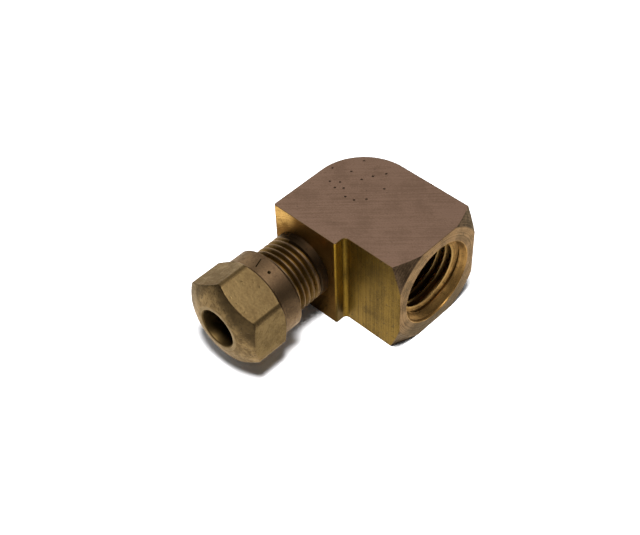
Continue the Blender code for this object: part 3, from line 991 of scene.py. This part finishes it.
FLOOR_SIZE = 2.0
FLOOR_DARK = (0.90, 0.90, 0.91)
FLOOR_LIGHT = (0.93, 0.93, 0.94)
FLOOR_ROUGHNESS = 0.8
FLOOR_GRAIN_SCALE = 0.5
FLOOR_GRAIN_DEPTH = 0.01
TOP_PLACE = (0.08, -0.085, 0.5)
TOP_AIM = (0, 0, 0)
TOP_SIZE = 0.12
TOP_POWER = 5.5
BACK_PLACE = (-0.42, 0.26, 0.2)
BACK_AIM = (0, 0, 0.01)
BACK_SIZE = 0.3
BACK_POWER = 0.5
ROOM_LIGHT_SIDE = (-0.35, 0.5, 0.79)
ROOM_LIMITS = (-0.3, 0.9)
ROOM_LOW = 0.05
ROOM_HIGH = 0.17
CAMERA_TARGET = Vector((0.00276, -0.01014, AXIS_Z))
CAMERA_AZIMUTH = 45.55
CAMERA_ELEVATION = 46.81
CAMERA_ROLL = -2.395
CAMERA_DISTANCE = 0.19237
CAMERA_LENS = 67.79
SENSOR_WIDTH = 36.0
CLIP_START = 0.005


def make_camera():
    """Camera on the photograph's side of the object."""
    azimuth = math.radians(CAMERA_AZIMUTH)
    elevation = math.radians(CAMERA_ELEVATION)
    back = Vector((math.sin(azimuth) * math.cos(elevation),
                   -math.cos(azimuth) * math.cos(elevation), math.sin(elevation)))
    data = bpy.data.cameras.new("camera")
    data.lens = CAMERA_LENS
    data.sensor_width = SENSOR_WIDTH
    data.clip_start = CLIP_START
    camera = bpy.data.objects.new("camera", data)
    bpy.context.scene.collection.objects.link(camera)
    turn = back.to_track_quat("Z", "Y").to_matrix().to_4x4()
    roll = Matrix.Rotation(math.radians(CAMERA_ROLL), 4, "Z")
    camera.matrix_world = (Matrix.Translation(CAMERA_TARGET + back * CAMERA_DISTANCE)
                           @ turn @ roll)
    bpy.context.scene.camera = camera


def floor_paint():
    """Matt white card."""
    n = Nodes("floor_card")
    grain = n.noise(FLOOR_GRAIN_SCALE, 2.0)
    return n.finish(n.mix(grain, FLOOR_DARK, FLOOR_LIGHT), FLOOR_ROUGHNESS, 0.0, grain,
                    FLOOR_GRAIN_DEPTH)


def area_light(name, place, aim, size, power):
    """Square soft box that looks at a point."""
    data = bpy.data.lights.new(name, "AREA")
    data.shape = "SQUARE"
    data.size = size
    data.energy = power
    light = bpy.data.objects.new(name, data)
    bpy.context.scene.collection.objects.link(light)
    direction = Vector(aim) - Vector(place)
    light.matrix_world = (Matrix.Translation(place)
                          @ direction.to_track_quat("-Z", "Y").to_matrix().to_4x4())


def studio_room():
    """Dim room, lighter overhead and behind the object."""
    world = bpy.data.worlds.new("room")
    world.use_nodes = True
    tree = world.node_tree
    place = tree.nodes.new("ShaderNodeTexCoord")
    towards = tree.nodes.new("ShaderNodeVectorMath")
    towards.operation = "DOT_PRODUCT"
    towards.inputs[1].default_value = ROOM_LIGHT_SIDE
    level = tree.nodes.new("ShaderNodeMapRange")
    level.interpolation_type = "SMOOTHSTEP"
    for socket, number in zip(level.inputs[1:], (*ROOM_LIMITS, ROOM_LOW, ROOM_HIGH)):
        socket.default_value = number
    room = tree.nodes["Background"]
    tree.links.new(place.outputs["Generated"], towards.inputs[0])
    tree.links.new(towards.outputs["Value"], level.inputs[0])
    tree.links.new(level.outputs["Result"], room.inputs["Strength"])
    room.inputs["Color"].default_value = (1.0, 1.0, 1.0, 1.0)
    return world


def make_stage():
    """Pale floor, soft light and a dim room."""
    mesh = bpy.data.meshes.new("floor")
    half = FLOOR_SIZE / 2
    mesh.from_pydata([(-half, -half, 0), (half, -half, 0), (half, half, 0), (-half, half, 0)],
                     [], [(0, 1, 2, 3)])
    floor = bpy.data.objects.new("floor", mesh)
    bpy.context.scene.collection.objects.link(floor)
    floor.data.materials.append(floor_paint())
    area_light("top_box", TOP_PLACE, TOP_AIM, TOP_SIZE, TOP_POWER)
    area_light("back_box", BACK_PLACE, BACK_AIM, BACK_SIZE, BACK_POWER)
    bpy.context.scene.world = studio_room()
    bpy.context.scene.view_settings.view_transform = "Standard"


def main():
    """Build the pieces, dress them and set the stage."""
    make_camera()
    elbow = make_elbow()
    nut = make_nut()
    sleeve = make_sleeve()
    for piece, node, body, slot, finish in (
            (elbow, "elbow_body", "elbow", "elbow_brass", (elbow_finishes(), elbow_region)),
            (nut, "compression_nut", "nut", "nut_brass", (nut_finishes(), nut_region)),
            (sleeve, "sleeve", "sleeve_carrier", "sleeve_brass",
             (sleeve_finishes(), sleeve_region))):
        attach(piece, body)
        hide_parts(node)
        dress(piece, *finish)
    make_stage()


main()
